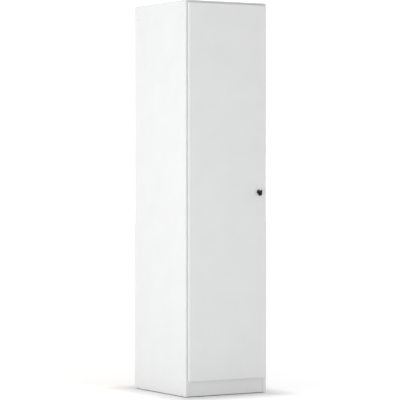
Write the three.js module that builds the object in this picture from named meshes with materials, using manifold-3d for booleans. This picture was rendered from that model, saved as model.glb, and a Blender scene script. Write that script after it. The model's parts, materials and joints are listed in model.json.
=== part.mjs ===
// A free-standing one-door locker cabinet in white melamine board, with a cam lock and its key.
// Millimetres, +Z up. The origin is on the floor, under the middle of the whole object's box.
// The door is shut and unlocked. +X is to the right and -Y is to the front.

import * as THREE from 'three';
import { mergeVertices } from 'three/addons/utils/BufferGeometryUtils.js';
import Module from 'manifold-3d';

const wasm = await Module();
wasm.setup();

// ---- driving dimensions ----------------------------------------------------------------------

const bodyWidth = 470;
const bodyHeight = 1970;
const carcassDepth = 522;
const board = 16;
const seam = 0.3; // hairline left between two pieces that meet

const doorGap = 2; // between the carcass and the back of the door
const doorInset = 10; // from each outer side face to the door's edge
const doorBottom = 80;
const doorTop = bodyHeight - 14;
const keyReach = 30; // from the door's front face to the tip of the key's bow

const glideHeight = 3;
const glideRadius = 7;
const plinthHeight = 64; // foot of the sides to the underside of the bottom panel
const plinthSetback = 4;
const rearPlinthSetback = 60;

const backThickness = 3;
const backInset = 8; // from the back panel to the rear edge of the sides
const grooveDepth = 6;
const backRailHeight = 80;

const hatShelfHeight = 1640;
const lowerShelfHeight = 340;
const shelfSetback = 20; // from the carcass front to the shelves
const pinPitch = 32; // spacing of the shelf pin holes
const pinRadius = 2.4;

const systemLine = 37; // rows of holes lie this far from the front and rear edges
const capOffsets = [8, 8 + 2 * pinPitch]; // cap centres from either end of a side panel
const capRadius = 5.8;
const capStemRadius = 2.4;

const lockLeft = 414; // lock centre from the left outer face
const lockHeight = 1018;
const camLength = 32;
const keyTilt = THREE.MathUtils.degToRad(4); // of the key's bow from upright, unlocked
const keySlot = { width: 2.4, height: 7, depth: 14 };

const hingeEndDistance = 110; // from the door's ends to the outer hinges
const hingeCount = 4;
const cupEdgeDistance = 22.5; // from the door's edge to the cup's centre
const cupRadius = 17.5;
const cupDepth = 12;
const armTip = { x: 33, y: 3 }; // pivot of the hinge links, from the carcass front left corner
const linkRestAngle = THREE.MathUtils.degToRad(10);
const linkReach = 44;

const railHeight = 1590;
const railWidth = 30;
const railThickness = 15;

// ---- worked out from them --------------------------------------------------------------------

const doorThickness = board;
const doorBack = -doorGap;
const doorFront = doorBack - doorThickness;
const doorWidth = bodyWidth - 2 * doorInset;
const doorHeight = doorTop - doorBottom;
const innerLeft = board;
const innerRight = bodyWidth - board;
const innerWidth = innerRight - innerLeft;
const fittedWidth = innerWidth - 2 * seam;
const backFront = carcassDepth - backInset - backThickness;
const fittedDepth = backFront - seam;
const footLevel = glideHeight + seam;
const floorPanelLevel = footLevel + plinthHeight;
const frontY = keyReach + doorThickness + doorGap - (keyReach + doorThickness + doorGap + carcassDepth) / 2;

// ---- materials -------------------------------------------------------------------------------

function finish(color, roughness, metalness) {
  return new THREE.MeshStandardMaterial({ color, roughness, metalness });
}

const melamine = finish(0xf1f2f2, 0.42, 0);
const hardboard = finish(0xeceae6, 0.6, 0);
const capPlastic = finish(0xe4e5e6, 0.5, 0);
const clearPlastic = finish(0xdfe3e4, 0.35, 0);
const blackPlastic = finish(0x17171a, 0.35, 0);
const nickel = finish(0xb9bbbd, 0.28, 1);
const chrome = finish(0xd5d7da, 0.12, 1);
const zinc = finish(0x9b9da0, 0.42, 1);
const greyPlastic = finish(0x6d7073, 0.55, 0);

// ---- solids ----------------------------------------------------------------------------------

function toSolid(geometry) {
  const bare = geometry.clone();
  bare.deleteAttribute('normal');
  bare.deleteAttribute('uv');
  const merged = mergeVertices(bare, 1e-4);
  const mesh = new wasm.Mesh({
    numProp: 3,
    vertProperties: new Float32Array(merged.attributes.position.array),
    triVerts: new Uint32Array(merged.index.array),
  });
  return new wasm.Manifold(mesh);
}

function toGeometry(solid) {
  const mesh = solid.getMesh();
  const geometry = new THREE.BufferGeometry();
  geometry.setAttribute('position', new THREE.BufferAttribute(new Float32Array(mesh.vertProperties), 3));
  geometry.setIndex(new THREE.BufferAttribute(new Uint32Array(mesh.triVerts), 1));
  geometry.computeVertexNormals();
  return geometry;
}

function join(...geometries) {
  return toGeometry(geometries.map(toSolid).reduce((whole, piece) => whole.add(piece)));
}

function cut(geometry, ...cutters) {
  return toGeometry(cutters.map(toSolid).reduce((whole, tool) => whole.subtract(tool), toSolid(geometry)));
}

// A block from its lowest corner and its size.
function block(x, y, z, width, depth, height) {
  const geometry = new THREE.BoxGeometry(width, depth, height);
  return geometry.translate(x + width / 2, y + depth / 2, z + height / 2);
}

// A round bar along X, Y or Z, from a start point towards the positive end of that axis.
function bar(axis, radius, length, start = [0, 0, 0], segments = 24) {
  const geometry = new THREE.CylinderGeometry(radius, radius, length, segments);
  geometry.translate(0, length / 2, 0);
  if (axis === 'x') geometry.rotateZ(-Math.PI / 2);
  if (axis === 'z') geometry.rotateX(Math.PI / 2);
  return geometry.translate(...start);
}

// A turned piece about Y. The profile is a list of [radius, y] that starts and ends on the axis
// or closes on itself, listed from the lowest y upwards on its outer side.
function turned(profile, segments = 24) {
  const points = profile.map(([radius, along]) => new THREE.Vector2(radius, along));
  return new THREE.LatheGeometry(points, segments);
}

// A flat outline in XY raised along Z, centred on z = 0.
function raised(shape, height, curveSegments = 8) {
  const options = { depth: height, bevelEnabled: false, curveSegments };
  return new THREE.ExtrudeGeometry(shape, options).translate(0, 0, -height / 2);
}

// A slot-shaped outline, length measured over its round ends, lying along X.
function slotShape(length, width) {
  const half = length / 2 - width / 2;
  const shape = new THREE.Shape();
  shape.absarc(half, 0, width / 2, -Math.PI / 2, Math.PI / 2, false);
  shape.absarc(-half, 0, width / 2, Math.PI / 2, (3 * Math.PI) / 2, false);
  return shape;
}

// An outline with straight edges, each corner rounded off over a distance either side of it.
function roundedShape(corners, distance) {
  const shape = new THREE.Shape();
  const towards = (from, to) => from.clone().add(to.clone().sub(from).setLength(distance));
  corners.forEach((corner, index) => {
    const start = towards(corner, corners.at(index - 1));
    const stop = towards(corner, corners[(index + 1) % corners.length]);
    if (index === 0) shape.moveTo(start.x, start.y);
    else shape.lineTo(start.x, start.y);
    shape.quadraticCurveTo(corner.x, corner.y, stop.x, stop.y);
  });
  return shape;
}

// ---- scene graph -----------------------------------------------------------------------------

const cabinet = new THREE.Group();
cabinet.name = 'locker_cabinet';

// Everything is placed from the carcass's front left corner on the floor.
const corner = new THREE.Group();
corner.position.set(-bodyWidth / 2, frontY, 0);
cabinet.add(corner);

function place(name, geometry, material, x, y, z) {
  const mesh = new THREE.Mesh(geometry, material);
  mesh.name = name;
  mesh.position.set(x, y, z);
  corner.add(mesh);
  return mesh;
}

// ---- carcass ---------------------------------------------------------------------------------

// Heights of the screw holes, the same from either end so that one panel serves left and right.
function capHeights() {
  const fromBelow = capOffsets.map((offset) => footLevel + offset);
  const fromAbove = capOffsets.map((offset) => bodyHeight - offset);
  return [...fromBelow, ...fromAbove];
}

const capDepths = [systemLine, carcassDepth - systemLine];

function pinHeights() {
  const levels = [-2, -1, 0, 1, 2];
  return levels.map((level) => lowerShelfHeight - seam - pinRadius + level * pinPitch);
}

const pinDepths = [shelfSetback + systemLine, fittedDepth - systemLine];

// One side panel: 'outward' is -1 for the left panel and +1 for the right one. Its origin is the
// middle of its thickness, at the carcass front, on the floor.
function sidePanel(outward) {
  const panel = block(-board / 2, 0, footLevel, board, carcassDepth, bodyHeight - footLevel);
  const grooveX = outward < 0 ? board / 2 - grooveDepth : -board / 2 - seam;
  const grooveWidth = backThickness + 2 * seam;
  const groove = block(grooveX, backFront - seam, 0, grooveDepth + seam, grooveWidth, bodyHeight + 1);
  const capHoleX = outward < 0 ? -board / 2 - 1 : board / 2 - 9;
  const pinHoleX = outward < 0 ? board / 2 - 10 : -board / 2 - 1;
  const capHoles = capHeights().flatMap((z) => capDepths.map((y) => (
    bar('x', capStemRadius + seam, 10, [capHoleX, y, z], 8)
  )));
  const pinHoles = pinHeights().flatMap((z) => pinDepths.map((y) => (
    bar('x', pinRadius + seam, 11, [pinHoleX, y, z], 8)
  )));
  return cut(panel, groove, ...capHoles, ...pinHoles);
}

function topPanel() {
  const panel = block(0, 0, 0, fittedWidth, carcassDepth, board);
  const groove = block(-1, backFront - seam, -1, fittedWidth + 2, backThickness + 2 * seam, grooveDepth + 1);
  return cut(panel, groove);
}

function addCarcass() {
  const start = innerLeft + seam;
  const underTop = bodyHeight - board;
  place('side_panel_left', sidePanel(-1), melamine, board / 2, 0, 0);
  place('side_panel_right', sidePanel(1), melamine, bodyWidth - board / 2, 0, 0);
  place('top_panel', topPanel(), melamine, start, 0, underTop);
  place('bottom_panel', block(0, 0, 0, fittedWidth, fittedDepth, board), melamine, start, 0, floorPanelLevel);
  const plinth = block(0, 0, 0, fittedWidth, board, plinthHeight - seam);
  place('plinth_front', plinth, melamine, start, plinthSetback, footLevel);
  place('plinth_rear', plinth.clone(), melamine, start, fittedDepth - board - rearPlinthSetback, footLevel);
  const backWidth = innerWidth + 2 * (grooveDepth - seam);
  const backBottom = floorPanelLevel - 10;
  const backHeight = underTop + grooveDepth - seam - backBottom;
  const back = block(0, 0, 0, backWidth, backThickness, backHeight);
  place('back_panel', back, hardboard, (bodyWidth - backWidth) / 2, backFront, backBottom);
  const rail = block(0, 0, 0, fittedWidth, board, backRailHeight);
  place('back_rail', rail, melamine, start, fittedDepth - board, underTop - seam - backRailHeight);
}

// A push-in cover cap: a thin domed head and a short stem, turned about Y with the head outward.
function coverCap() {
  const stem = capStemRadius;
  return turned([[0, -8], [stem, -8], [stem, seam], [capRadius, seam], [capRadius, 0.9], [0, 1.3]], 20);
}

function addCoverCaps() {
  const levels = ['bottom_low', 'bottom_high', 'top_high', 'top_low'];
  const ends = ['front', 'rear'];
  const sides = [['left', 0, Math.PI / 2], ['right', bodyWidth, -Math.PI / 2]];
  for (const [side, x, turn] of sides) {
    for (const [level, z] of capHeights().entries()) {
      for (const [end, y] of capDepths.entries()) {
        const name = `cap_${side}_${levels[level]}_${ends[end]}`;
        place(name, coverCap(), capPlastic, x, y, z).rotation.z = turn;
      }
    }
  }
}

function addGlides() {
  const edge = 0.8;
  const outer = [[glideRadius - edge, 0], [glideRadius, edge], [glideRadius, glideHeight]];
  const foot = turned([[0, 0], ...outer, [0, glideHeight]], 12);
  for (const [side, x] of [['left', board / 2], ['right', bodyWidth - board / 2]]) {
    for (const [end, y] of [['front', 30], ['rear', carcassDepth - 30]]) {
      const glide = place(`glide_${end}_${side}`, foot.clone(), greyPlastic, x, y, 0);
      glide.rotation.x = Math.PI / 2;
    }
  }
}

// ---- inside ----------------------------------------------------------------------------------

function addShelves() {
  const shelf = block(0, 0, 0, fittedWidth, fittedDepth - shelfSetback, board);
  place('hat_shelf', shelf, melamine, innerLeft + seam, shelfSetback, hatShelfHeight);
  place('lower_shelf', shelf.clone(), melamine, innerLeft + seam, shelfSetback, lowerShelfHeight);
}

// A shelf pin along +X: a peg for the hole, a collar and a flat-topped tongue under the shelf.
function shelfPin() {
  const peg = bar('x', pinRadius, 9.5, [-8.5, 0, 0], 8);
  const collar = bar('x', 4, 1.5, [seam, 0, -1.6], 12);
  const tongue = block(seam, -3.5, -pinRadius, 11, 7, 2 * pinRadius);
  return cut(join(peg, collar, tongue), block(-20, -20, pinRadius, 40, 40, 10));
}

function addShelfPins() {
  const z = lowerShelfHeight - seam - pinRadius;
  for (const [side, x, turn] of [['left', innerLeft, 0], ['right', innerRight, Math.PI]]) {
    for (const [index, end] of ['front', 'rear'].entries()) {
      const pin = place(`shelf_pin_${end}_${side}`, shelfPin(), nickel, x, pinDepths[index], z);
      pin.rotation.z = turn;
    }
  }
}

// A slot-shaped bar that runs along X from a start, with its long side upright.
function uprightSlotBar(height, width, start, length) {
  return raised(slotShape(height, width), length, 6).rotateY(Math.PI / 2).translate(start + length / 2, 0, 0);
}

const railSocketFloor = 3.5;

// A rail end socket along +X: a slot-shaped plate with a collar that holds the rail's end.
function railBracket() {
  const plate = uprightSlotBar(railWidth + 24, railThickness + 7, seam, 2);
  const collar = uprightSlotBar(railWidth + 5, railThickness + 5, 1, 12.5);
  const hollow = uprightSlotBar(railWidth + 1, railThickness + 1, railSocketFloor, 20);
  return cut(join(plate, collar), hollow);
}

function addClothesRail() {
  const middle = carcassDepth / 2;
  const railStart = railSocketFloor + seam;
  const rail = uprightSlotBar(railWidth, railThickness, railStart, innerWidth - 2 * railStart);
  place('clothes_rail', rail, chrome, innerLeft, middle, railHeight);
  place('rail_bracket_left', railBracket(), zinc, innerLeft, middle, railHeight);
  const right = place('rail_bracket_right', railBracket(), zinc, innerRight, middle, railHeight);
  right.rotation.z = Math.PI;
}

// An angle that ties the cabinet to a wall, under the top panel and against the back rail.
function addWallBracket() {
  const width = 24;
  const leg = 38;
  const steel = 2;
  const upper = block(-width / 2, -leg, -steel, width, leg, steel);
  const lower = block(-width / 2, -steel, -leg, width, steel, leg);
  const screwHole = bar('z', 2.6, 10, [0, -leg * 0.62, -6], 12);
  const wallHole = bar('y', 3.2, 10, [0, -6, -leg * 0.62], 12);
  const bracket = cut(join(upper, lower), screwHole, wallHole);
  const y = fittedDepth - board - seam;
  place('wall_bracket', bracket, zinc, bodyWidth / 2, y, bodyHeight - board - seam);
}

// ---- door ------------------------------------------------------------------------------------

function hingeHeights() {
  const first = doorBottom + hingeEndDistance;
  const step = (doorHeight - 2 * hingeEndDistance) / (hingeCount - 1);
  return Array.from({ length: hingeCount }, (_, index) => first + index * step);
}

function addDoor() {
  const panel = block(0, 0, 0, doorWidth, doorThickness, doorHeight);
  const cupBores = hingeHeights().map((z) => (
    bar('y', cupRadius + seam, 20, [cupEdgeDistance, doorThickness - cupDepth - seam, z - doorBottom], 32)
  ));
  const lockBore = bar('y', 9.5, 30, [lockLeft - doorInset, -5, lockHeight - doorBottom], 24);
  place('door_panel', cut(panel, ...cupBores, lockBore), melamine, doorInset, doorFront, doorBottom);
}

function addBumpers() {
  const pad = turned([[0, 0], [2.8, 0], [2.8, 0.8], [2.2, 1.4], [0, 1.4]], 12);
  const middle = bodyWidth - (board + doorInset) / 2;
  for (const [name, z] of [['upper', doorTop - 60], ['lower', doorBottom + 60]]) {
    place(`door_bumper_${name}`, pad.clone(), clearPlastic, middle, doorBack + seam, z);
  }
}

// ---- hinges ----------------------------------------------------------------------------------

// The cup's origin is its centre on the door's back face, with its mouth towards +Y.
function hingeCup() {
  const wall = 1;
  const flange = 1.2;
  const cup = bar('y', cupRadius, cupDepth + flange, [0, -cupDepth, 0], 32);
  const rim = bar('y', cupRadius + 2, flange - seam, [0, seam, 0], 32);
  const wings = raised(slotShape(60, 16), flange - seam, 6).rotateY(Math.PI / 2).rotateZ(Math.PI / 2);
  wings.translate(8, seam + (flange - seam) / 2, 0);
  const screw = turned([[0, 0.6], [3.6, 0.6], [3.6, 1.3], [2, 2.2], [0, 2.2]], 12).translate(8, 0, 0);
  const screws = [-23, 23].map((z) => screw.clone().translate(0, 0, z));
  const hollow = bar('y', cupRadius - wall, 20, [0, wall - cupDepth, 0], 32);
  const knuckle = block(-8, -cupDepth + 0.5, -6, 10, cupDepth - 4, 12);
  return join(cut(join(cup, rim, wings, ...screws), hollow), knuckle);
}

// The arm's origin is the carcass front left corner at the hinge's height. A plate on the side
// panel carries a curved arm that ends in a fork with the links' pin.
function hingeArm() {
  const fork = 14;
  const plate = block(innerLeft + seam, 14, -9, 2.5, 50, 18);
  const wings = block(innerLeft + seam, systemLine - 7, -26, 2.5, 14, 52);
  const screws = [-16, 16].map((z) => bar('x', 4, 1.6, [innerLeft + seam + 2, systemLine, z], 12));
  const profile = new THREE.Shape();
  profile.moveTo(innerLeft + 2, 18);
  profile.lineTo(innerLeft + 2, 66);
  profile.lineTo(innerLeft + 8, 66);
  profile.lineTo(innerLeft + 11, 61);
  profile.lineTo(innerLeft + 11, 24);
  profile.quadraticCurveTo(innerLeft + 12, 13, armTip.x + 3.2, armTip.y + 1.6);
  profile.absarc(armTip.x, armTip.y, 3.6, 0.46, -Math.PI * 0.75, true);
  profile.quadraticCurveTo(innerLeft + 3, 8, innerLeft + 2, 18);
  const arm = raised(profile, fork, 4);
  const linkRoom = bar('z', 6.4, fork - 4, [armTip.x, armTip.y, 2 - fork / 2], 20);
  const pin = bar('z', 1.5, fork - 1, [armTip.x, armTip.y, (1 - fork) / 2], 10);
  return join(cut(join(plate, wings, ...screws, arm), linkRoom), pin);
}

// The link's origin is the arm's pin: an eye, a strap along +X and a hook towards -Y for the cup.
function hingeLink() {
  const width = 9;
  const barrel = 2.6;
  const eye = bar('z', 3.4, width, [0, 0, -width / 2], 16);
  const strap = block(2, -1.2, -width / 2, linkReach + barrel - 2, 2.4, width);
  const hook = block(linkReach - barrel, -6, -width / 2, 2 * barrel, 6, width);
  const end = bar('z', barrel, width, [linkReach, -6, -width / 2], 16);
  const pinHole = bar('z', 1.9, width + 4, [0, 0, -width / 2 - 2], 12);
  return cut(join(eye, strap, hook, end), pinHole);
}

function addHinges() {
  hingeHeights().forEach((z, index) => {
    const number = index + 1;
    place(`hinge_cup_${number}`, hingeCup(), nickel, doorInset + cupEdgeDistance, doorBack, z);
    place(`hinge_arm_${number}`, hingeArm(), nickel, 0, 0, z);
    const link = place(`hinge_link_${number}`, hingeLink(), nickel, armTip.x, armTip.y, z);
    link.rotation.z = linkRestAngle;
  });
}

// ---- lock ------------------------------------------------------------------------------------

// The lock's pieces are turned about the lock's axis, which runs along Y. Their origins are on
// that axis at the door's back face, so the door's front face is at y = -doorThickness.
const face = -doorThickness;
const camFront = 10.3;
const camThickness = 2.5;

function escutcheon() {
  const profile = [
    [8.3, face + 6], [8.3, face - 1.2], [9, face - 2.2], [10, face - 2.5], [10.8, face - 1.7],
    [11, face - seam], [9.1, face - seam], [9.1, face + 6], [8.3, face + 6],
  ];
  return turned(profile, 28);
}

function lockCase() {
  const barrel = bar('y', 8, 8 - face, [0, face - 1, 0], 24);
  const plate = block(-17, seam, -17, 34, 2, 34);
  const screws = [-1, 1].map((side) => bar('y', 3, 1.4, [side * 12, seam + 1.5, side * 12], 12));
  const bore = bar('y', 5.4, 40, [0, face - 10, 0], 24);
  return cut(join(barrel, plate, ...screws), bore);
}

function lockPlug() {
  const body = bar('y', 5.1, camFront - face - seam + 0.6, [0, face - 0.6, 0], 24);
  const tenon = block(-2.6, camFront - 2, -2.6, 5.2, camThickness + 3.4, 5.2);
  const { width, height, depth } = keySlot;
  const slot = block(-width / 2, face - 5, -height / 2, width, depth + 5, height).rotateY(keyTilt);
  return cut(join(body, tenon), slot);
}

// The cam hangs down while unlocked and points right, behind the strike, once locked.
function lockCam() {
  const plate = raised(slotShape(camLength + 7, 14), camThickness, 6);
  plate.rotateX(Math.PI / 2).rotateY(Math.PI / 2);
  plate.translate(0, camFront + camThickness / 2, -(camLength - 7) / 2);
  return cut(plate, block(-2.9, camFront - 5, -2.9, 5.8, 20, 5.8));
}

// The key's origin is on the lock's axis at the door's back face, like the other lock pieces. Its
// bow is a flat plate in the YZ plane: the upper edge dips in the middle, and the lower part hangs
// under the shank and carries the eyelet. Corners are [distance from the door's face, level].
function key() {
  const thickness = 6;
  const bowStart = 4;
  const corners = [[bowStart, 7], [15.5, 0.5], [keyReach, 11], [keyReach, -15], [17, -21], [bowStart, -17]];
  const outline = roundedShape(corners.map(([reach, level]) => new THREE.Vector2(-level, face - reach)), 3);
  const eyelet = new THREE.Path();
  eyelet.absarc(11.5, face - 18.5, 3.4, 0, Math.PI * 2, true);
  outline.holes.push(eyelet);
  const bow = raised(outline, thickness, 6).rotateY(Math.PI / 2);
  const shank = bar('y', 3.2, 5.5, [0, face - bowStart - 3, 0], 16);
  const bladeStart = face - bowStart;
  const blade = block(-1, bladeStart, -3, 2, face + keySlot.depth - 1.5 - bladeStart, 6);
  return join(bow, shank, blade).rotateY(keyTilt);
}

// An angle on the right side panel: its lip stands in front of the locked cam.
function lockStrike() {
  const steel = 2;
  const half = 20;
  const lipFront = 4;
  const leg = block(-seam - steel, lipFront, -half, steel, 30, 2 * half);
  const lip = block(-seam - 16, lipFront, -half, 16, steel, 2 * half);
  const screws = [-12, 12].map((z) => bar('x', 3.4, 1.6, [-seam - steel - 1.2, lipFront + 21, z], 12));
  return join(leg, lip, ...screws);
}

function addLock() {
  const centre = [lockLeft, doorBack, lockHeight];
  place('lock_escutcheon', escutcheon(), blackPlastic, ...centre);
  place('lock_case', lockCase(), zinc, ...centre);
  place('lock_plug', lockPlug(), nickel, ...centre);
  place('lock_cam', lockCam(), zinc, ...centre);
  place('key', key(), blackPlastic, ...centre);
  place('lock_strike', lockStrike(), zinc, innerRight, 0, lockHeight);
}

// ---- the whole cabinet -----------------------------------------------------------------------

addCarcass();
addCoverCaps();
addGlides();
addShelves();
addShelfPins();
addClothesRail();
addWallBracket();
addDoor();
addBumpers();
addHinges();
addLock();

export default cabinet;
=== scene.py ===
import json
import math

import bmesh
import bpy
from mathutils import Matrix, Vector

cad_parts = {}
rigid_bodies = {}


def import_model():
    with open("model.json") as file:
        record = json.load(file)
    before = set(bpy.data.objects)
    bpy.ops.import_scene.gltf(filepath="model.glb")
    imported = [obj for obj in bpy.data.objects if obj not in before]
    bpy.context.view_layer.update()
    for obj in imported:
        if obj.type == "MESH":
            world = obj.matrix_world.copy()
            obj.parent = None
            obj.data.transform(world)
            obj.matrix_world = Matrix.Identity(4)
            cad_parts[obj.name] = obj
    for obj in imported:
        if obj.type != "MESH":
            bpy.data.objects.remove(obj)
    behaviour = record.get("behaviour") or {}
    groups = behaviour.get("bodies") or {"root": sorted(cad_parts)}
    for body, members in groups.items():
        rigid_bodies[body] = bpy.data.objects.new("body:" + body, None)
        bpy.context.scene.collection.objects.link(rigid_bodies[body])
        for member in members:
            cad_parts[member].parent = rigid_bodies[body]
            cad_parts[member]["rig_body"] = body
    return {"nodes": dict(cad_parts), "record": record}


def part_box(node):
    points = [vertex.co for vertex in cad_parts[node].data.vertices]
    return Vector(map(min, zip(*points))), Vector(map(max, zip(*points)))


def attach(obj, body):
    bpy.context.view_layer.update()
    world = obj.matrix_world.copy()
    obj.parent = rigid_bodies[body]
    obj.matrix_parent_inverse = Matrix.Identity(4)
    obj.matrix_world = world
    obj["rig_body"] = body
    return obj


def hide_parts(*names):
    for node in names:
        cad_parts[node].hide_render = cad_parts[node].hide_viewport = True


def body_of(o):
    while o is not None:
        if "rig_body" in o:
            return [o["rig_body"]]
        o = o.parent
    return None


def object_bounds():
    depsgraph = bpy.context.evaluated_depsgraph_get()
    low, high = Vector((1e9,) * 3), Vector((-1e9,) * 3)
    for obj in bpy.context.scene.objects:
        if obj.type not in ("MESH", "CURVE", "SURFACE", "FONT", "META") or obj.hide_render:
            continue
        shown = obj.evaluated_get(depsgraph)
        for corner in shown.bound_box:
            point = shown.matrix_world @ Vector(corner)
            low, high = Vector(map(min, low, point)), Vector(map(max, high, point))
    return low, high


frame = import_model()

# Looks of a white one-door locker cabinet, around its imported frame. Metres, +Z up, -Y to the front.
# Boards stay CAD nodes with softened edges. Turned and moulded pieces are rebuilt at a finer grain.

CAD_BOX = [list(corner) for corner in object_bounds()]
NODES = frame["nodes"]
MM = 0.001

# ---- places read from the frame -------------------------------------------------------------

SIDE_LOW, SIDE_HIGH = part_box("side_panel_left")
DOOR_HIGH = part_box("door_panel")[1]
LOCK_LOW, LOCK_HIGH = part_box("lock_escutcheon")
LOCK_AXIS = (LOCK_LOW + LOCK_HIGH) / 2
RIGHT_LOW, RIGHT_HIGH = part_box("side_panel_right")
SLOTS = {part["node"]: part["material_slot"] for part in frame["record"]["subparts"]}
HINGE_NUMBERS = (1, 2, 3, 4)

# ---- node materials -------------------------------------------------------------------------


class Paint:
    """A node material being built round one Principled shader."""

    def __init__(self, name, **sockets):
        self.material = bpy.data.materials.new(name)
        self.material.use_nodes = True
        self.tree = self.material.node_tree
        self.shader = self.tree.nodes["Principled BSDF"]
        self.coords = self.tree.nodes.new("ShaderNodeTexCoord").outputs["Object"]
        for socket, value in sockets.items():
            self.shader.inputs[socket.replace("_", " ")].default_value = value

    def add(self, kind, links=(), **settings):
        node = self.tree.nodes.new("ShaderNode" + kind)
        for key, value in settings.items():
            setattr(node, key, value)
        for socket, value in links:
            if isinstance(value, bpy.types.NodeSocket):
                self.tree.links.new(value, node.inputs[socket])
            else:
                node.inputs[socket].default_value = value
        return node

    def noise(self, size, detail=2.0, roughness=0.5, stretch=(1, 1, 1)):
        """Noise whose features are about size metres wide, before stretch."""
        mapping = self.add("Mapping", [("Vector", self.coords), ("Scale", stretch)])
        links = [("Vector", mapping.outputs[0]), ("Scale", 1 / size)]
        links += [("Detail", detail), ("Roughness", roughness)]
        return self.add("TexNoise", links).outputs["Fac"]

    def cells(self, size, output="Distance"):
        links = [("Vector", self.coords), ("Scale", 1 / size)]
        return self.add("TexVoronoi", links).outputs[output]

    def remap(self, value, low, high, to_low=0.0, to_high=1.0):
        links = [("Value", value), ("From Min", low), ("From Max", high)]
        links += [("To Min", to_low), ("To Max", to_high)]
        return self.add("MapRange", links).outputs[0]

    def math(self, operation, first, second=0.0):
        return self.add("Math", [(0, first), (1, second)], operation=operation).outputs[0]

    def blend(self, factor, first, second):
        links = [("Factor", factor), ("A", first), ("B", second)]
        return self.add("Mix", links, data_type="RGBA").outputs["Result"]

    def position(self):
        split = self.add("SeparateXYZ", [("Vector", self.coords)])
        return split.outputs

    def set(self, socket, value):
        self.tree.links.new(value, self.shader.inputs[socket])

    def bump(self, height, depth, strength=1.0):
        """Adds relief of depth metres, on top of any bump set before."""
        before = self.shader.inputs["Normal"].links
        links = [("Height", height), ("Distance", depth), ("Strength", strength)]
        if before:
            links.append(("Normal", before[0].from_socket))
        node = self.add("Bump", links)
        self.set("Normal", node.outputs[0])


def rgb(red, green, blue):
    return (red, green, blue, 1.0)


def add_pearl(paint, colour, shade, calm):
    """The fine pearl grain of melamine: an even white with soft mottling and a tiny relief."""
    mottle = paint.remap(paint.noise(0.11, 3.0), 0.3, 0.7)
    paint.set("Base Color", paint.blend(mottle, colour, shade))
    grain = paint.noise(0.0011, 2.0, 0.6)
    paint.bump(paint.math("MULTIPLY", grain, calm), 0.00005, 0.6)
    sheen = paint.noise(0.02, 4.0)
    paint.set("Roughness", paint.remap(sheen, 0.3, 0.7, 0.36, 0.46))


def edge_distance(paint, low, high, axes):
    """Distance from the nearest edge of a board, measured in its own plane."""
    position = paint.position()
    gaps = []
    for axis in axes:
        gaps.append(paint.math("SUBTRACT", position[axis], low[axis]))
        gaps.append(paint.math("SUBTRACT", high[axis], position[axis]))
    nearest = gaps[0]
    for gap in gaps[1:]:
        nearest = paint.math("MINIMUM", nearest, gap)
    return nearest


BAND = 0.8 * MM  # thickness of the plastic edge band
MELAMINE = rgb(0.697, 0.699, 0.701)
MELAMINE_SHADE = rgb(0.679, 0.681, 0.684)
HAIRLINE = rgb(0.56, 0.56, 0.555)


def melamine_board(node):
    """White pearl melamine, with a smoother plastic edge band and the hairline where they meet."""
    low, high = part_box(node)
    thickness = min(range(3), key=lambda axis: high[axis] - low[axis])
    axes = [axis for axis in range(3) if axis != thickness]
    paint = Paint(f"melamine_{node}")
    distance = edge_distance(paint, low, high, axes)
    field = paint.remap(distance, BAND, BAND + 0.1 * MM)
    add_pearl(paint, MELAMINE, MELAMINE_SHADE, field)
    off_line = paint.math("ABSOLUTE", paint.math("SUBTRACT", distance, BAND + 0.05 * MM))
    seam = paint.remap(off_line, 0.05 * MM, 0.16 * MM, 1.0, 0.0)
    colour = paint.shader.inputs["Base Color"].links[0].from_socket
    paint.set("Base Color", paint.blend(seam, colour, HAIRLINE))
    paint.bump(paint.math("SUBTRACT", 1.0, seam), 0.00006, 0.8)
    return paint.material


def hardboard():
    """Thin fibreboard: white lacquer on the face inside the cabinet, bare brown fibre behind."""
    low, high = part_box("back_panel")
    paint = Paint("hardboard")
    behind = paint.remap(paint.position()[1], low.y + 1.0 * MM, high.y - 1.0 * MM)
    fibres = paint.noise(0.004, 6.0, 0.7, (1.0, 1.0, 0.35))
    flecks = paint.remap(paint.noise(0.0012, 3.0, 0.8), 0.55, 0.75)
    brown = paint.blend(paint.remap(fibres, 0.3, 0.7), rgb(0.27, 0.165, 0.09), rgb(0.36, 0.235, 0.14))
    brown = paint.blend(flecks, brown, rgb(0.19, 0.11, 0.06))
    clouds = paint.remap(paint.noise(0.2, 3.0), 0.3, 0.7)
    white = paint.blend(clouds, rgb(0.76, 0.76, 0.755), rgb(0.735, 0.735, 0.73))
    paint.set("Base Color", paint.blend(behind, white, brown))
    paint.set("Roughness", paint.remap(behind, 0.0, 1.0, 0.5, 0.85))
    paint.bump(fibres, 0.00012, 0.5)
    paint.bump(paint.noise(0.0014, 2.0), 0.00005, 0.5)
    return paint.material


def moulded(name, colour, shade, roughness, specular=0.4):
    """Moulded plastic with a fine spark-eroded grain and slightly uneven gloss."""
    paint = Paint(name, Specular_IOR_Level=specular)
    tone = paint.remap(paint.noise(0.006, 3.0), 0.35, 0.65)
    paint.set("Base Color", paint.blend(tone, colour, shade))
    gloss = paint.noise(0.003, 4.0)
    paint.set("Roughness", paint.remap(gloss, 0.3, 0.7, roughness - 0.05, roughness + 0.07))
    paint.bump(paint.noise(0.0007, 2.0), 0.00003, 0.5)
    return paint.material


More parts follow.
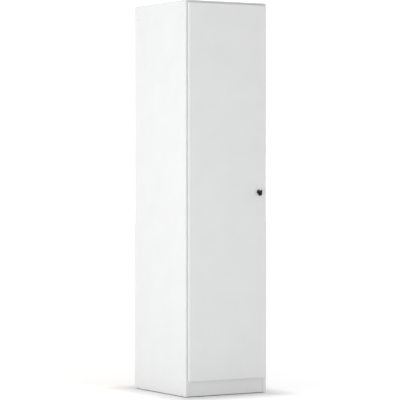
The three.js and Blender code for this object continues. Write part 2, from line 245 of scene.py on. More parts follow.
def plated(name, colour, shade, roughness, stretch=(1, 1, 1), spots=0.0):
    """Plated steel: bright metal with faint handling marks and, on zinc, a pale crystal pattern."""
    paint = Paint(name, Metallic=1.0)
    tone = paint.remap(paint.noise(0.006, 3.0, 0.5, stretch), 0.35, 0.65)
    colour_socket = paint.blend(tone, colour, shade)
    if spots:
        crystal = paint.remap(paint.cells(0.0025, "Color"), 0.2, 0.9, 0.0, spots)
        colour_socket = paint.blend(crystal, colour_socket, rgb(0.75, 0.77, 0.78))
    paint.set("Base Color", colour_socket)
    marks = paint.noise(0.003, 4.0, 0.6, stretch)
    paint.set("Roughness", paint.remap(marks, 0.3, 0.7, roughness - 0.04, roughness + 0.08))
    paint.bump(paint.noise(0.0008, 2.0, 0.5, stretch), 0.000004, 0.5)
    return paint.material


def clear_buffer():
    paint = Paint("clear_buffer", IOR=1.46)
    haze = paint.noise(0.0008, 3.0)
    paint.set("Base Color", paint.blend(haze, rgb(0.7, 0.72, 0.73), rgb(0.8, 0.82, 0.83)))
    paint.set("Roughness", paint.remap(haze, 0.3, 0.7, 0.2, 0.34))
    paint.set("Transmission Weight", paint.remap(haze, 0.2, 0.8, 0.45, 0.6))
    return paint.material


CAP_WHITE, CAP_SHADE = rgb(0.66, 0.665, 0.67), rgb(0.63, 0.635, 0.64)
BLACK, BLACK_SHADE = rgb(0.007, 0.007, 0.0075), rgb(0.01, 0.01, 0.011)
GREY, GREY_SHADE = rgb(0.2, 0.205, 0.21), rgb(0.17, 0.175, 0.18)
NICKEL, NICKEL_SHADE = rgb(0.66, 0.655, 0.64), rgb(0.61, 0.605, 0.595)
CHROME, CHROME_SHADE = rgb(0.8, 0.81, 0.82), rgb(0.74, 0.75, 0.76)
ZINC, ZINC_SHADE = rgb(0.52, 0.53, 0.54), rgb(0.43, 0.44, 0.45)

MATERIALS = {
    "hardboard": hardboard(),
    "cap_plastic": moulded("cap_plastic", CAP_WHITE, CAP_SHADE, roughness=0.42),
    "black_plastic": moulded("black_plastic", BLACK, BLACK_SHADE, roughness=0.38, specular=0.16),
    "grey_plastic": moulded("grey_plastic", GREY, GREY_SHADE, roughness=0.5),
    "clear_plastic": clear_buffer(),
    "nickel": plated("nickel", NICKEL, NICKEL_SHADE, roughness=0.22),
    "chrome": plated("chrome", CHROME, CHROME_SHADE, roughness=0.1, stretch=(0.05, 1, 1)),
    "zinc": plated("zinc", ZINC, ZINC_SHADE, roughness=0.36, spots=0.5),
}

# ---- CAD nodes that stay --------------------------------------------------------------------


BOARD_EDGE = 0.7 * MM
FITTING_EDGE = 0.25 * MM


def soften(node, width):
    """Rounds a CAD node's edges: its loose triangles are welded first, so that it has edges."""
    weld = node.modifiers.new("weld", "WELD")
    weld.merge_threshold = 0.01 * MM
    bevel = node.modifiers.new("soft_edges", "BEVEL")
    bevel.width = width
    bevel.segments = 3
    bevel.limit_method = "ANGLE"
    bevel.angle_limit = math.radians(30)
    bevel.use_clamp_overlap = True


def finish_nodes():
    for name, node in NODES.items():
        slot = SLOTS[name]
        material = melamine_board(name) if slot == "melamine" else MATERIALS[slot]
        node.data.materials.clear()
        node.data.materials.append(material)
        for polygon in node.data.polygons:
            polygon.material_index = 0
        soften(node, BOARD_EDGE if slot == "melamine" else FITTING_EDGE)


finish_nodes()

# ---- shapes, in millimetres -----------------------------------------------------------------
# A shape is a bmesh round its own origin. It becomes an object only when it is shown.


def turned(profile, segments=48):
    """A solid turned about Z. The profile is a list of (radius, height) from one end to the other."""
    shape = bmesh.new()
    rings = []
    for radius, height in profile:
        count = segments if radius else 1
        angles = [2 * math.pi * index / segments for index in range(count)]
        places = [(radius * math.cos(angle), radius * math.sin(angle), height) for angle in angles]
        rings.append([shape.verts.new(place) for place in places])
    for below, above in zip(rings, rings[1:]):
        for index in range(segments):
            corners = [below[index % len(below)], below[(index + 1) % len(below)]]
            corners += [above[(index + 1) % len(above)], above[index % len(above)]]
            unique = list(dict.fromkeys(corners))
            if len(unique) > 2:
                shape.faces.new(unique)
    bmesh.ops.recalc_face_normals(shape, faces=shape.faces)
    return shape


def raised(outline, height):
    """A flat XY outline raised from z = 0."""
    shape = bmesh.new()
    base = shape.faces.new([shape.verts.new((x, y, 0)) for x, y in outline])
    top = bmesh.ops.extrude_face_region(shape, geom=[base])["geom"]
    bmesh.ops.translate(shape, vec=(0, 0, height), verts=[item for item in top if hasattr(item, "co")])
    bmesh.ops.recalc_face_normals(shape, faces=shape.faces)
    return shape


def round_bar(radius, length, segments=48):
    return turned([(0, 0), (radius, 0), (radius, length), (0, length)], segments)


def block(low, high):
    corners = [(low[0], low[1]), (high[0], low[1]), (high[0], high[1]), (low[0], high[1])]
    shape = raised(corners, high[2] - low[2])
    return moved(shape, (0, 0, low[2]))


def moved(shape, offset=(0, 0, 0), turn=0.0, axis="Z"):
    """Turns a shape by degrees about an axis through its origin, then shifts it."""
    matrix = Matrix.Translation(offset) @ Matrix.Rotation(math.radians(turn), 4, axis)
    shape.transform(matrix)
    return shape


def aimed(shape, axis):
    """Turns a shape so that its own +Z points along the named axis."""
    turns = {"X": (90, "Y"), "-X": (-90, "Y"), "Y": (-90, "X"), "-Y": (90, "X")}
    turns.update({"Z": (0, "X"), "-Z": (180, "X")})
    return moved(shape, turn=turns[axis][0], axis=turns[axis][1])


def joined(*shapes):
    whole = bmesh.new()
    for shape in shapes:
        mesh = bpy.data.meshes.new("joining")
        shape.to_mesh(mesh)
        whole.from_mesh(mesh)
        bpy.data.meshes.remove(mesh)
        shape.free()
    return whole


def scratch_object(shape):
    mesh = bpy.data.meshes.new("scratch")
    shape.to_mesh(mesh)
    shape.free()
    scratch = bpy.data.objects.new("scratch", mesh)
    bpy.context.scene.collection.objects.link(scratch)
    return scratch


def less(shape, *cutters):
    """A shape with other closed shapes cut away."""
    body = scratch_object(shape)
    tools = [scratch_object(cutter) for cutter in cutters]
    for tool in tools:
        carve = body.modifiers.new("carve", "BOOLEAN")
        carve.operation = "DIFFERENCE"
        carve.solver = "EXACT"
        carve.object = tool
    bpy.context.view_layer.update()
    result = body.evaluated_get(bpy.context.evaluated_depsgraph_get()).to_mesh()
    carved = bmesh.new()
    carved.from_mesh(result)
    for scratch in [body, *tools]:
        mesh = scratch.data
        bpy.data.objects.remove(scratch)
        bpy.data.meshes.remove(mesh)
    return carved


# ---- outlines, in millimetres ---------------------------------------------------------------


def arc(centre, radius, start, stop, steps=12):
    """Points on an arc, by angles in degrees."""
    angles = [math.radians(start + (stop - start) * index / steps) for index in range(steps + 1)]
    return [(centre[0] + radius * math.cos(a), centre[1] + radius * math.sin(a)) for a in angles]


def curve(start, pull, stop, steps=10):
    """Points after start on a quadratic curve towards pull that ends at stop."""
    points = []
    for index in range(1, steps + 1):
        t = index / steps
        weights = ((1 - t) ** 2, 2 * t * (1 - t), t * t)
        ends = (start, pull, stop)
        points.append(tuple(sum(w * end[axis] for w, end in zip(weights, ends)) for axis in (0, 1)))
    return points


def slot_outline(length, width, steps=16):
    half = (length - width) / 2
    return arc((half, 0), width / 2, -90, 90, steps) + arc((-half, 0), width / 2, 90, 270, steps)


def rounded(corners, radius, steps=5):
    """A polygon with every corner replaced by an arc that starts and ends radius away from it."""
    points = []
    for index, corner in enumerate(corners):
        before = Vector(corners[index - 1])
        after = Vector(corners[(index + 1) % len(corners)])
        middle = Vector(corner)
        start = middle + (before - middle).normalized() * radius
        stop = middle + (after - middle).normalized() * radius
        points.append(tuple(start))
        points += curve(tuple(start), tuple(middle), tuple(stop), steps)
    return points


def rectangle(width, height, radius):
    half_width, half_height = width / 2, height / 2
    corners = [(-half_width, -half_height), (half_width, -half_height)]
    corners += [(half_width, half_height), (-half_width, half_height)]
    return rounded(corners, radius)


def cross_outline(length, width, wing_length, wing_width, wing_middle, radius):
    """A plate along X, from 0 to length, with wings along Y round wing_middle."""
    x_low, x_high = wing_middle - wing_width / 2, wing_middle + wing_width / 2
    y, wing_y = width / 2, wing_length / 2
    lower = [(0, -y), (x_low, -y), (x_low, -wing_y), (x_high, -wing_y), (x_high, -y), (length, -y)]
    upper = [(x, -y) for x, y in reversed(lower)]
    return rounded(lower + upper, radius)


# ---- fasteners ------------------------------------------------------------------------------


def screw_head(radius, height):
    """A pan head with a cross recess, standing on z = 0."""
    dome = [(0, -0.3), (radius, -0.3), (radius, height * 0.35), (radius * 0.93, height * 0.68)]
    dome += [(radius * 0.74, height * 0.9), (radius * 0.5, height), (0, height)]
    arm, width, depth = radius * 0.58, radius * 0.13, height * 0.75
    blades = [block((-arm, -width, height - depth), (arm, width, height + 1)),
              block((-width, -arm, height - depth), (width, arm, height + 1))]
    heart = moved(round_bar(radius * 0.24, depth + 1, 16), (0, 0, height - depth))
    return less(turned(dome, 40), *blades, heart)


def screws_at(places, radius, height, axis):
    return [moved(aimed(screw_head(radius, height), axis), place) for place in places]


# ---- showing a shape ------------------------------------------------------------------------


def mesh_of(shape, name, slot):
    bmesh.ops.remove_doubles(shape, verts=shape.verts, dist=0.0005)
    mesh = bpy.data.meshes.new(name)
    shape.to_mesh(mesh)
    shape.free()
    mesh.transform(Matrix.Scale(MM, 4))
    mesh.materials.append(MATERIALS[slot])
    mesh.shade_smooth()
    mesh.set_sharp_from_angle(angle=math.radians(40))
    return mesh


def show(mesh, name, body, place, turn=0.0, axis="Z", edge=0.25, stands_for=None):
    """Shows a mesh at a place, with edges rounded by edge millimetres, riding on a body."""
    piece = bpy.data.objects.new(name, mesh)
    bpy.context.scene.collection.objects.link(piece)
    piece.location = place
    piece.rotation_euler["XYZ".index(axis)] = math.radians(turn)
    if edge:
        bevel = piece.modifiers.new("soft_edges", "BEVEL")
        bevel.width = edge * MM
        bevel.segments = 2
        bevel.limit_method = "ANGLE"
        bevel.angle_limit = math.radians(38)
        bevel.use_clamp_overlap = True
        bevel.harden_normals = True
    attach(piece, body)
    if stands_for:
        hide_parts(stands_for)
    return piece


def middle_of(node):
    low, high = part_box(node)
    return (low + high) / 2


def stand_in(node, mesh, place, turn=0.0, axis="Z", edge=0.25):
    """Shows a finer mesh in a CAD node's stead, on the same body."""
    name = f"{node}_fine"
    return show(mesh, name, body_of(NODES[node])[0], place, turn, axis, edge, node)


# ---- plastic fittings -----------------------------------------------------------------------


def add_cover_caps():
    """Push-in caps: a thin dome with a soft rim on a ribbed stem."""
    head = [(0, 1.3), (2.4, 1.24), (4.2, 1.08), (5.3, 0.86), (5.68, 0.66), (5.8, 0.45), (5.8, 0.3)]
    stem = [(2.4, 0.3), (2.4, -2), (2.1, -2.4), (2.4, -2.8), (2.1, -4.4), (2.4, -4.8), (1.6, -8), (0, -8)]
    cap = mesh_of(aimed(turned(head + stem, 40), "X"), "cover_cap", "cap_plastic")
    for node in NODES:
        if node.startswith("cap_"):
            on_left = "left" in node
            place = middle_of(node)
            place.x = SIDE_LOW.x if on_left else RIGHT_HIGH.x
            stand_in(node, cap, place, 180 if on_left else 0, edge=0)


def add_glides():
    """Nail-on glides: a soft-edged foot with a sunk nail."""
    foot = [(0, 1.4), (2.7, 1.4), (3.1, 1.1), (3.1, 0.25), (3.5, 0), (6.1, 0), (6.8, 0.35), (7, 0.9)]
    foot += [(7, 2.7), (6.8, 3), (0, 3)]
    nail = [(0, 0.5), (1.6, 0.6), (2.5, 0.9), (2.6, 1.3), (0, 1.3)]
    foot_mesh = mesh_of(turned(foot), "glide", "grey_plastic")
    nail_mesh = mesh_of(turned(nail, 24), "glide_nail", "zinc")
    for node in NODES:
        if node.startswith("glide_"):
            place = middle_of(node)
            place.z = 0
            stand_in(node, foot_mesh, place, edge=0)
            show(nail_mesh, f"{node}_nail", "carcass", place, edge=0)


def add_bumpers():
    """Clear domed pads on the door's back face, opposite the right side's front edge."""
    pad = [(0, 0), (2.8, 0), (2.8, 0.5), (2.72, 0.8), (2.45, 1.1), (1.9, 1.3), (1.0, 1.38), (0, 1.4)]
    pad_mesh = mesh_of(aimed(turned(pad), "Y"), "bumper", "clear_plastic")
    for node in ("door_bumper_upper", "door_bumper_lower"):
        place = middle_of(node)
        place.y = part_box(node)[0].y
        stand_in(node, pad_mesh, place, edge=0)


# ---- inside fittings ------------------------------------------------------------------------


def shelf_pin():
    """A pressed pin along +X: a peg, a collar and a flat tongue for the shelf to lie on."""
    peg = [(0, -8.5), (1.7, -8.5), (2.4, -7.6), (2.4, 0)]
    collar = [(4, 0.3), (4, 1.4), (3.6, 1.8), (2.4, 1.8), (0, 1.8)]
    pin = aimed(turned(peg + collar, 40), "X")
    pin = less(pin, block((-0.1, -6, 2.4), (3, 6, 6)))
    outline = rounded([(0.3, -3.5), (11.3, -3.5), (11.3, 3.5), (0.3, 3.5)], 1.4)
    tongue = moved(raised(outline, 1.6), (0, 0, 0.8))
    rib = block((0.5, -0.9, -2.2), (9, 0.9, 1))
    return joined(pin, tongue, rib)


def add_shelf_pins():
    pin = mesh_of(shelf_pin(), "shelf_pin", "nickel")
    for node in NODES:
        if node.startswith("shelf_pin_"):
            on_left = node.endswith("left")
            place = middle_of(node)
            place.x = SIDE_HIGH.x if on_left else RIGHT_LOW.x
            place.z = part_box("lower_shelf")[0].z - 2.7 * MM
            stand_in(node, pin, place, 0 if on_left else 180, edge=0.15)


def along_x(outline, start, length):
    """A YZ outline, given as (z, y), raised along X from start."""
    shape = aimed(raised([(-z, y) for z, y in outline], length), "X")
    return moved(shape, (start, 0, 0))


RAIL_HEIGHT, RAIL_WIDTH = 30, 15
RAIL_WALL = 1.2


def add_clothes_rail():
    low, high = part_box("clothes_rail")
    length = (high.x - low.x) / MM
    hollow = 2 * RAIL_WALL
    tube = less(along_x(slot_outline(RAIL_HEIGHT, RAIL_WIDTH, 24), 0, length),
                along_x(slot_outline(RAIL_HEIGHT - hollow, RAIL_WIDTH - hollow, 24), -1, length + 2))
    middle = (low + high) / 2
    stand_in("clothes_rail", mesh_of(tube, "clothes_rail", "chrome"), (low.x, middle.y, middle.z), edge=0.2)


def rail_bracket():
    """A cast socket along +X: a slot-shaped plate, a collar and a screw at each end."""
    plate = along_x(slot_outline(RAIL_HEIGHT + 24, RAIL_WIDTH + 7), 0.3, 2)
    collar = less(along_x(slot_outline(RAIL_HEIGHT + 5, RAIL_WIDTH + 5), 1, 12.5),
                  along_x(slot_outline(RAIL_HEIGHT + 1, RAIL_WIDTH + 1), 3.5, 20))
    screws = screws_at([(2.3, 0, z) for z in (-22, 22)], radius=3.2, height=1.5, axis="X")
    return joined(plate, collar, *screws)


def add_rail_brackets():
    bracket = mesh_of(rail_bracket(), "rail_bracket", "zinc")
    for node, turn, side in (("rail_bracket_left", 0, SIDE_HIGH), ("rail_bracket_right", 180, RIGHT_LOW)):
        place = middle_of(node)
        place.x = side.x
        stand_in(node, bracket, place, turn, edge=0.35)


def wall_bracket():
    """A bent steel angle: one leg under the top panel, one against the back rail."""
    leg, steel, width = 38, 2, 24
    profile = [(-leg, 0), (-leg, -steel), (-steel - 1, -steel)]
    profile += curve((-steel - 1, -steel), (-steel, -steel), (-steel, -steel - 1), 4)
    profile += [(-steel, -leg), (0, -leg), (0, -3)] + curve((0, -3), (0, 0), (-3, 0), 6)
    angle = along_x([(z, y) for y, z in profile], -width / 2, width)
    reach = -leg * 0.62
    upper_hole = moved(round_bar(2.6, 10, 32), (0, reach, -6))
    wall_hole = moved(aimed(round_bar(3.2, 10, 32), "Y"), (0, -6, reach))
    angle = less(angle, upper_hole, wall_hole)
    screw = screws_at([(0, reach, -steel)], radius=4.2, height=2.1, axis="-Z")
    return joined(angle, *screw)


def add_wall_bracket():
    low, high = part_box("wall_bracket")
    place = ((low.x + high.x) / 2, high.y, high.z)
    stand_in("wall_bracket", mesh_of(wall_bracket(), "wall_bracket", "zinc"), place, edge=0.3)


# ---- hinges ---------------------------------------------------------------------------------
# An arm is drawn from the carcass's front left edge, a link from its eye at the arm's tip, and a cup
# from its own centre on the door's back face.

ARM_TIP = (33, 3)
LINK_REACH = 44  # from its eye to the middle of its hook
LINK_REST = 10  # degrees
CUP_RADIUS = 17.5
CUP_DEPTH = 12


def hinge_cup():
    """A pressed cup along +Y with a rim, two screwed wings and, inside, two ears that hold two pins."""
    wall = [(0, -CUP_DEPTH), (16.6, -CUP_DEPTH), (17.3, -11.7), (CUP_RADIUS, -11), (CUP_RADIUS, 0.3)]
    wall += [(19.5, 0.3), (19.5, 0.8)]
    wall += [(19.2, 1.15), (17.2, 1.2), (16.6, 0.8), (16.4, 0.2), (16.4, -10), (15.6, -10.9), (0, -11)]
    cup = aimed(turned(wall, 72), "Y")
    wings = raised([(y, x) for x, y in slot_outline(length=60, width=16)], 0.9)
    wings = less(moved(wings, (8, 0, 0.3)), moved(round_bar(CUP_RADIUS - 1, 4), (0, 0, -1)))
    wings = moved(wings, turn=-90, axis="X")
    rib = raised(rectangle(width=9, height=3, radius=1.4), 0.5)
    rib = moved(aimed(rib, "Y"), (8, 1.2, 0))
    ears = [block((-8, -11.4, z - 0.75), (2, -3.2, z + 0.75)) for z in (-5.4, 5.4)]
    pins = [moved(round_bar(1.2, 11.6, 24), (x, -5.4, -5.8)) for x in (-5.6, -0.4)]
    screws = screws_at([(8, 1.2, z) for z in (-23.5, 23.5)], radius=3.6, height=1.1, axis="Y")
    return joined(cup, wings, rib, *ears, *pins, *screws)


def arm_outline():
    tip = Vector(ARM_TIP)
    points = [(18, 18), (18, 66), (24, 66)] + curve((24, 66), (26.4, 65.4), (27, 60), 5)
    points += [(27, 24)] + curve((27, 24), (28, 13), (tip.x + 3.2, tip.y + 1.6))
    points += arc(ARM_TIP, 3.6, 20, -130, 14)
    return points + curve(points[-1], (19, 8), (18, 18))[:-1]


def hinge_arm():
    """A mounting plate with two wings, and over it a curved arm that ends in a fork with a pin."""
    outline = cross_outline(length=50, width=18, wing_length=52, wing_width=14, wing_middle=23, radius=3)
    plate = raised(outline, 2.5)
    plate = moved(aimed(moved(plate, turn=90), "X"), (16.3, 14, 0))
    arm = moved(raised(arm_outline(), 14), (0, 0, -7))
    room = moved(round_bar(6.4, 10), (*ARM_TIP, -5))
    arm = less(arm, room)
    pin = moved(round_bar(1.5, 13.4, 24), (*ARM_TIP, -6.7))
    rivet = [(0, 0), (2.6, 0), (2.2, 0.6), (0, 0.8)]
    heads = []
    for axis, level in (("Z", 6.9), ("-Z", -6.9)):
        heads.append(moved(aimed(turned(rivet, 24), axis), (*ARM_TIP, level)))
    plate_screws = screws_at([(18.8, 37, z) for z in (-18, 18)], radius=4, height=1.6, axis="X")
    arm_screws = screws_at([(27, y, 0) for y in (31, 53)], radius=3.8, height=1.0, axis="X")
    return joined(plate, arm, pin, *heads, *plate_screws, *arm_screws)


def hinge_link():
    """A link along +X from its eye, with a hook towards -Y for the cup."""
    outline = arc((0, 0), 3.4, 20.7, 339.3, 28) + [(10, -1.2)]
    outline += curve((LINK_REACH - 6, -1.2), (LINK_REACH - 2.6, -1.4), (LINK_REACH - 2.6, -4), 5)
    outline += arc((LINK_REACH, -6), 2.6, 180, 360, 12)
    outline += curve((LINK_REACH + 2.6, -1.6), (LINK_REACH + 2.6, 1.2), (LINK_REACH - 0.4, 1.2), 6)
    link = moved(raised(outline, 9), (0, 0, -4.5))
    link = less(link, moved(round_bar(1.9, 13, 32), (0, 0, -6.5)))
    return moved(link, turn=LINK_REST)


def add_hinges():
    cup = mesh_of(hinge_cup(), "hinge_cup", "nickel")
    arm = mesh_of(hinge_arm(), "hinge_arm", "nickel")
    link = mesh_of(hinge_link(), "hinge_link", "nickel")
    for number in HINGE_NUMBERS:
        level = middle_of(f"hinge_link_{number}").z
        edge = Vector((SIDE_LOW.x, SIDE_LOW.y, level))
        cup_low, cup_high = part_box(f"hinge_cup_{number}")
        stand_in(f"hinge_cup_{number}", cup, ((cup_low.x + cup_high.x) / 2, DOOR_HIGH.y, level), edge=0.15)
        stand_in(f"hinge_arm_{number}", arm, edge, edge=0.4)
        stand_in(f"hinge_link_{number}", link, edge + Vector((*ARM_TIP, 0)) * MM, edge=0.4)


# ---- lock and key ---------------------------------------------------------------------------
# Shapes on the door are drawn from the lock's axis at the door's back face.

FACE = -16  # the door's front face
KEY_TILT = 4  # degrees
KEY_REACH = 30  # from the door's face to the tip of the bow
BOW_START = 4  # from the door's face
BOW_THICKNESS = 6
EYELET = (11.5, FACE - 18.5)
EYELET_RADIUS = 3.4
COLLAR_RADIUS = 5.2
RECESS_DEPTH = 0.4


def escutcheon():
    """A ring with a rolled lip round the barrel, on the door's front face."""
    profile = [(8.3, FACE + 6), (8.3, FACE - 1.2), (8.5, FACE - 1.7), (9.0, FACE - 2.2), (9.6, FACE - 2.45)]
    profile += [(10.1, FACE - 2.4), (10.6, FACE - 2.05), (10.9, FACE - 1.4), (11, FACE - 0.3)]
    profile += [(9.1, FACE - 0.3), (9.1, FACE + 6)]
    return aimed(turned(profile + profile[:1], 72), "Y")


def lock_case():
    """A barrel through the door, with a screwed plate and a nut on the door's back face."""
    barrel = [(5.4, FACE - 1), (7.6, FACE - 1), (8, FACE - 0.6), (8, 8), (5.4, 8)]
    barrel = aimed(turned(barrel + barrel[:1], 64), "Y")
    plate = raised(rectangle(width=34, height=34, radius=4), 2)
    plate = less(moved(aimed(plate, "Y"), (0, 0.3, 0)), moved(aimed(round_bar(7.9, 10), "Y"), (0, -2, 0)))
    nut = [(8, 2.3), (9.6, 2.3), (10.2, 2.7), (10.2, 4.4), (9.6, 4.8), (8, 4.8)]
    nut = aimed(turned(nut + nut[:1], 6), "Y")
    screws = screws_at([(-12, 2.3, -12), (12, 2.3, 12)], radius=3.2, height=1.6, axis="Y")
    return joined(barrel, plate, nut, *screws)


def lock_plug():
    """A round plug with the key's slot in front and a square tenon for the cam behind."""
    profile = [(0, FACE - 0.6), (4.8, FACE - 0.6), (5.1, FACE - 0.3), (5.1, 10), (0, 10)]
    body = aimed(turned(profile, 64), "Y")
    tenon = block((-2.6, 8.3, -2.6), (2.6, 13.2, 2.6))
    slot = moved(block((-1.2, FACE - 5, -3.5), (1.2, FACE + 14, 3.5)), turn=KEY_TILT, axis="Y")
    return joined(less(body, slot), tenon)


def lock_cam():
    plate = raised([(y, -x) for x, y in slot_outline(length=39, width=14)], 2.5)
    return moved(aimed(plate, "Y"), (0, 10.3, 0))


def key_bow():
    """A flat plastic plate in the YZ plane with a dipped top, a hanging belly and an eyelet."""
    corners = [(BOW_START, 7), (15.5, 0.5), (KEY_REACH, 11), (KEY_REACH, -15), (17, -21), (BOW_START, -17)]
    plate = raised(rounded([(-level, FACE - reach) for reach, level in corners], 3, 10), BOW_THICKNESS)
    eyelet = moved(round_bar(EYELET_RADIUS, 9, 48), (*EYELET, -2))
    recess_corners = [(7, -1), (26.5, -1), (26.5, -13), (17, -17), (7, -14)]
    inlay = rounded([(-level, FACE - reach) for reach, level in recess_corners], 3)
    recess_levels = (BOW_THICKNESS - RECESS_DEPTH, RECESS_DEPTH - 1)
    recesses = [moved(raised(inlay, 1), (0, 0, level)) for level in recess_levels]
    opening = moved(round_bar(EYELET_RADIUS, 9, 48), (0, 0, -2))
    collar = moved(less(round_bar(COLLAR_RADIUS, BOW_THICKNESS), opening), (*EYELET, 0))
    bow = less(plate, *recesses, eyelet)
    bow = moved(joined(bow, collar), (0, 0, -BOW_THICKNESS / 2))
    bow = moved(bow, turn=90, axis="Y")
    shank = aimed(turned([(0, 0), (3.2, 0), (3.2, 4.8), (2.6, 5.5), (0, 5.5)], 40), "Y")
    shank = moved(shank, (0, FACE - BOW_START - 3, 0))
    return moved(joined(bow, shank), turn=KEY_TILT, axis="Y")


def key_blade():
    """A flat metal blade with a milled groove along each side."""
    start, stop = FACE - BOW_START, FACE + 12.5
    blade = block((-1, start, -3), (1, stop, 3))
    grooves = []
    for x, z in ((-1, 0.9), (1, -0.9)):
        grooves.append(block((x - 0.35, start - 1, z - 0.6), (x + 0.35, stop + 1, z + 0.6)))
    return moved(less(blade, *grooves), turn=KEY_TILT, axis="Y")


def lock_strike():
    """A bent steel angle for the cam to turn behind, drawn from the right side's inner front edge."""
    half_length = 20
    profile = [(-16.3, 4), (-3.3, 4)] + curve((-3.3, 4), (-0.3, 4), (-0.3, 7), 6) + [(-0.3, 34), (-2.3, 34)]
    profile += [(-2.3, 8)] + curve((-2.3, 8), (-2.3, 6), (-4.3, 6), 5) + [(-16.3, 6)]
    angle = moved(raised(profile, 2 * half_length), (0, 0, -half_length))
    screws = screws_at([(-2.3, 25, z) for z in (-12, 12)], radius=3.6, height=1.6, axis="-X")
    return joined(angle, *screws)


def add_lock():
    place = Vector((LOCK_AXIS.x, DOOR_HIGH.y, LOCK_AXIS.z))
    stand_in("lock_escutcheon", mesh_of(escutcheon(), "escutcheon", "black_plastic"), place, edge=0)
    stand_in("lock_case", mesh_of(lock_case(), "lock_case", "zinc"), place, edge=0.3)
    stand_in("lock_plug", mesh_of(lock_plug(), "lock_plug", "nickel"), place, edge=0.12)
    stand_in("lock_cam", mesh_of(lock_cam(), "lock_cam", "zinc"), place, edge=0.4)
    stand_in("key", mesh_of(key_bow(), "key_bow", "black_plastic"), place, edge=0.5)
    show(mesh_of(key_blade(), "key_blade", "nickel"), "key_blade", "key", place, edge=0.15)
    strike_low, strike_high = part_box("lock_strike")
    strike = mesh_of(lock_strike(), "lock_strike", "zinc")
    stand_in("lock_strike", strike, (RIGHT_LOW.x, SIDE_LOW.y, (strike_low.z + strike_high.z) / 2), edge=0.4)
    cam_screw = moved(aimed(screw_head(radius=4.2, height=2.2), "Y"), (0, 12.8, 0))
    show(mesh_of(cam_screw, "cam_screw", "zinc"), "cam_screw", "lock", place, edge=0)


add_cover_caps()
add_glides()
add_bumpers()
add_shelf_pins()
add_clothes_rail()
add_rail_brackets()
add_wall_bracket()
add_hinges()
add_lock()

# ---- floor, light and camera ----------------------------------------------------------------

CAMERA_YAW = math.radians(30.75)
CAMERA_DISTANCE = 10.24  # along the view, to the carcass's front left edge
CAMERA_ASIDE = -0.0701  # of that edge from the view's middle
CAMERA_HEIGHT = 1.122
CAMERA_LENS = 186.4  # millimetres, on a sensor 36 mm wide
CAMERA_PITCH = math.radians(-0.799)


def add_camera():
    ahead = Vector((math.sin(CAMERA_YAW), math.cos(CAMERA_YAW), 0))
    aside = Vector((math.cos(CAMERA_YAW), -math.sin(CAMERA_YAW), 0))
    data = bpy.data.cameras.new("camera")
    data.lens = CAMERA_LENS
    data.sensor_width = 36
    camera = bpy.data.objects.new("camera", data)
    corner = Vector((SIDE_LOW.x, SIDE_LOW.y, CAMERA_HEIGHT))
    camera.location = corner - CAMERA_DISTANCE * ahead - CAMERA_ASIDE * aside
    camera.rotation_euler = (math.pi / 2 + CAMERA_PITCH, 0, -CAMERA_YAW)
    bpy.context.scene.collection.objects.link(camera)
    bpy.context.scene.camera = camera


FLOOR_SIZE = 60
FLOOR_WHITE, FLOOR_SHADE = rgb(0.9, 0.9, 0.9), rgb(0.89, 0.89, 0.89)
NEAR_GLOW = 0.32  # painted glow of the floor, from none at the cabinet's edge, which leaves a painted shadow round it
PAINTED_SHADOW_WIDTH = 0.16  # width of that painted shadow: the glow reaches all of it this far away
FAR_GLOW = 0.05  # more painted glow, added to it between these distances
FAR_GLOW_START, FAR_GLOW_END = 0.5, 3.0


def add_floor():
    """A white floor that glows softly from within as painted light, except close round the cabinet, where
    the missing glow leaves a painted shadow.
    """
    bpy.ops.mesh.primitive_plane_add(size=FLOOR_SIZE)
    floor = bpy.context.object
    floor.name = "floor"
    paint = Paint("floor", Roughness=0.9, Emission_Color=rgb(1, 1, 1))
    paint.set("Base Color", paint.blend(paint.noise(0.4, 3.0), FLOOR_WHITE, FLOOR_SHADE))
    outside = []
    for axis in (0, 1):
        half_size = CAD_BOX[1][axis]
        beyond = paint.math("SUBTRACT", paint.math("ABSOLUTE", paint.position()[axis]), half_size)
        outside.append(paint.math("POWER", paint.math("MAXIMUM", beyond, 0.0), 2.0))
    distance = paint.math("SQRT", paint.math("ADD", *outside))
    # painted shadow round the cabinet and painted light beyond it: the floor's glow rises from none at the
    # cabinet's edge
    glow_past_painted_shadow = paint.remap(distance, 0.0, PAINTED_SHADOW_WIDTH, 0.0, NEAR_GLOW)
    far = paint.remap(distance, FAR_GLOW_START, FAR_GLOW_END, 0.0, FAR_GLOW)
    paint.set("Emission Strength", paint.math("ADD", glow_past_painted_shadow, far))
    floor.data.materials.append(paint.material)


SKY_LEVEL = 0.7
WALL_LEVEL = 0.57  # of the bright backdrop along the horizon
WALL_SLOPE = (-0.13, 1.47, 0)  # the backdrop is brightest behind the cabinet
WALL_SHARPNESS = 8.0


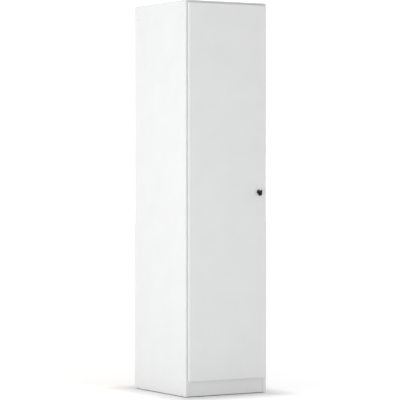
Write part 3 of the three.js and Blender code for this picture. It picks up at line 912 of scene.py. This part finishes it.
def add_sky():
    """A soft even sky, with a bright backdrop along the horizon behind the cabinet."""
    world = bpy.data.worlds.new("studio")
    bpy.context.scene.world = world
    world.use_nodes = True
    tree = world.node_tree

    def math_node(operation, *values):
        node = tree.nodes.new("ShaderNodeMath")
        node.operation = operation
        for index, value in enumerate(values):
            if isinstance(value, bpy.types.NodeSocket):
                tree.links.new(value, node.inputs[index])
            else:
                node.inputs[index].default_value = value
        return node.outputs[0]

    coords = tree.nodes.new("ShaderNodeTexCoord")
    split = tree.nodes.new("ShaderNodeSeparateXYZ")
    tree.links.new(coords.outputs["Generated"], split.inputs[0])
    height = math_node("ABSOLUTE", split.outputs["Z"])
    band = math_node("POWER", math_node("SUBTRACT", 1.0, height), WALL_SHARPNESS)
    slope = tree.nodes.new("ShaderNodeVectorMath")
    slope.operation = "DOT_PRODUCT"
    slope.inputs[1].default_value = WALL_SLOPE
    tree.links.new(coords.outputs["Generated"], slope.inputs[0])
    wall = math_node("MAXIMUM", math_node("ADD", slope.outputs["Value"], WALL_LEVEL), 0.0)
    wall = math_node("MULTIPLY", wall, band)
    background = tree.nodes["Background"]
    tree.links.new(math_node("ADD", wall, SKY_LEVEL), background.inputs["Strength"])
    background.inputs["Color"].default_value = (1, 1, 1, 1)


# Each has a place, a point it faces, a width and height in metres, and a power in watts.
SOFTBOXES = {
    "top_light": ((0.3, 0.2, 5.5), (0.3, 0.2, 0), (4.0, 4.0), 10.5),
    "low_light": ((-3.4, -3.6, 0.3), (0, 0, 0.05), (2.6, 0.5), 23),
    "left_light": ((-5.0, -1.2, 0.9), (0, 0, 0.8), (2.0, 2.0), 43),
    "corner_light": ((-3.6, -3.9, 0.9), (0, 0, 0.7), (2.4, 1.6), 18.5),
    "front_light": ((-0.6, -5.0, 0.4), (0, 0, 0.2), (3.0, 0.7), 3.5),
    "side_light": ((-5.0, 0.6, 0.4), (0, 0, 0.1), (3.0, 0.7), 9),
}


def add_softbox(name, place, target, size, power):
    data = bpy.data.lights.new(name, "AREA")
    data.shape = "RECTANGLE"
    data.size, data.size_y = size
    data.energy = power
    light = bpy.data.objects.new(name, data)
    light.location = place
    light.rotation_euler = (Vector(target) - Vector(place)).to_track_quat("-Z", "Y").to_euler()
    bpy.context.scene.collection.objects.link(light)


add_camera()
add_floor()
add_sky()
for light_name, light_settings in SOFTBOXES.items():
    add_softbox(light_name, *light_settings)
bpy.context.scene.view_settings.view_transform = "Standard"
